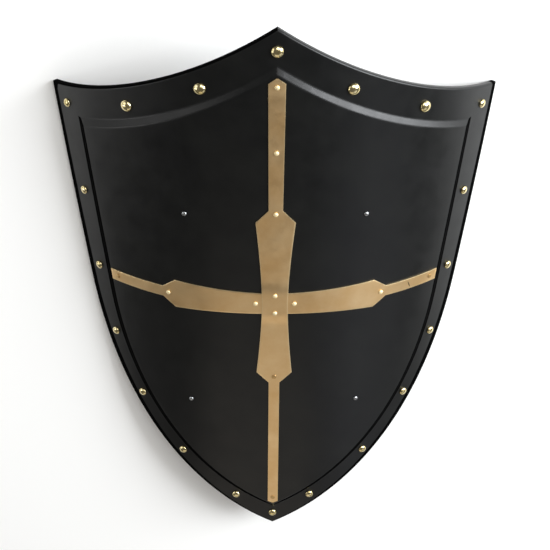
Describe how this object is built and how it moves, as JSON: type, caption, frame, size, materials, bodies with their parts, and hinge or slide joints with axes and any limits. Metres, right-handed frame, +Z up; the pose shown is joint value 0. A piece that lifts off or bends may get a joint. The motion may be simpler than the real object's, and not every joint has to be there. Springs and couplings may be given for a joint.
{
  "type": "heater shield",
  "caption": "Black-painted steel heater shield with a pressed raised field, a riveted border, a riveted brass cross and leather arm straps behind.",
  "frame": {"origin": "On the floor, under the middle of the bounding box of the shield lying face up.", "axes": "+Z is up and out of the shield's painted front. +Y runs from the tip to the head. +X is the right hand of someone who looks at the front with the head up."},
  "size_m": [0.5138, 0.7054, 0.1439],
  "materials": {
    "shield_paint": "satin black paint on pressed sheet steel",
    "cross_brass": "satin brass",
    "rim_brass": "polished brass domes",
    "strap_rivet_steel": "bright steel rivets",
    "strap_leather": "dark brown strap leather"
  },
  "bodies": {
    "root": {"shield_plate": "shield_paint", "cross_bar": "cross_brass", "cross_upright": "cross_brass", "rim_rivet_peak": "rim_brass", "rim_rivet_tip": "rim_brass", "rim_rivet_head_left_1": "rim_brass", "rim_rivet_head_left_2": "rim_brass", "rim_rivet_head_right_1": "rim_brass", "rim_rivet_head_right_2": "rim_brass", "rim_rivet_flank_left_1": "rim_brass", "rim_rivet_flank_left_2": "rim_brass", "rim_rivet_flank_left_3": "rim_brass", "rim_rivet_flank_left_4": "rim_brass", "rim_rivet_flank_left_5": "rim_brass", "rim_rivet_flank_left_6": "rim_brass", "rim_rivet_flank_left_7": "rim_brass", "rim_rivet_flank_right_1": "rim_brass", "rim_rivet_flank_right_2": "rim_brass", "rim_rivet_flank_right_3": "rim_brass", "rim_rivet_flank_right_4": "rim_brass", "rim_rivet_flank_right_5": "rim_brass", "rim_rivet_flank_right_6": "rim_brass", "rim_rivet_flank_right_7": "rim_brass", "cross_rivet_head": "cross_brass", "cross_rivet_strap": "cross_brass", "cross_rivet_shoulder": "cross_brass", "cross_rivet_lower_neck": "cross_brass", "cross_rivet_tail": "cross_brass", "cross_rivet_centre_upper": "cross_brass", "cross_rivet_centre_lower": "cross_brass", "cross_rivet_centre_left": "cross_brass", "cross_rivet_centre_right": "cross_brass", "cross_rivet_neck_left": "cross_brass", "cross_rivet_neck_right": "cross_brass", "cross_rivet_end_left": "cross_brass", "cross_rivet_end_right": "cross_brass", "strap_rivet_upper_left": "strap_rivet_steel", "strap_rivet_upper_right": "strap_rivet_steel", "strap_rivet_lower_left": "strap_rivet_steel", "strap_rivet_lower_right": "strap_rivet_steel", "arm_strap_left": "strap_leather", "arm_strap_right": "strap_leather"}
  },
  "joints": []
}
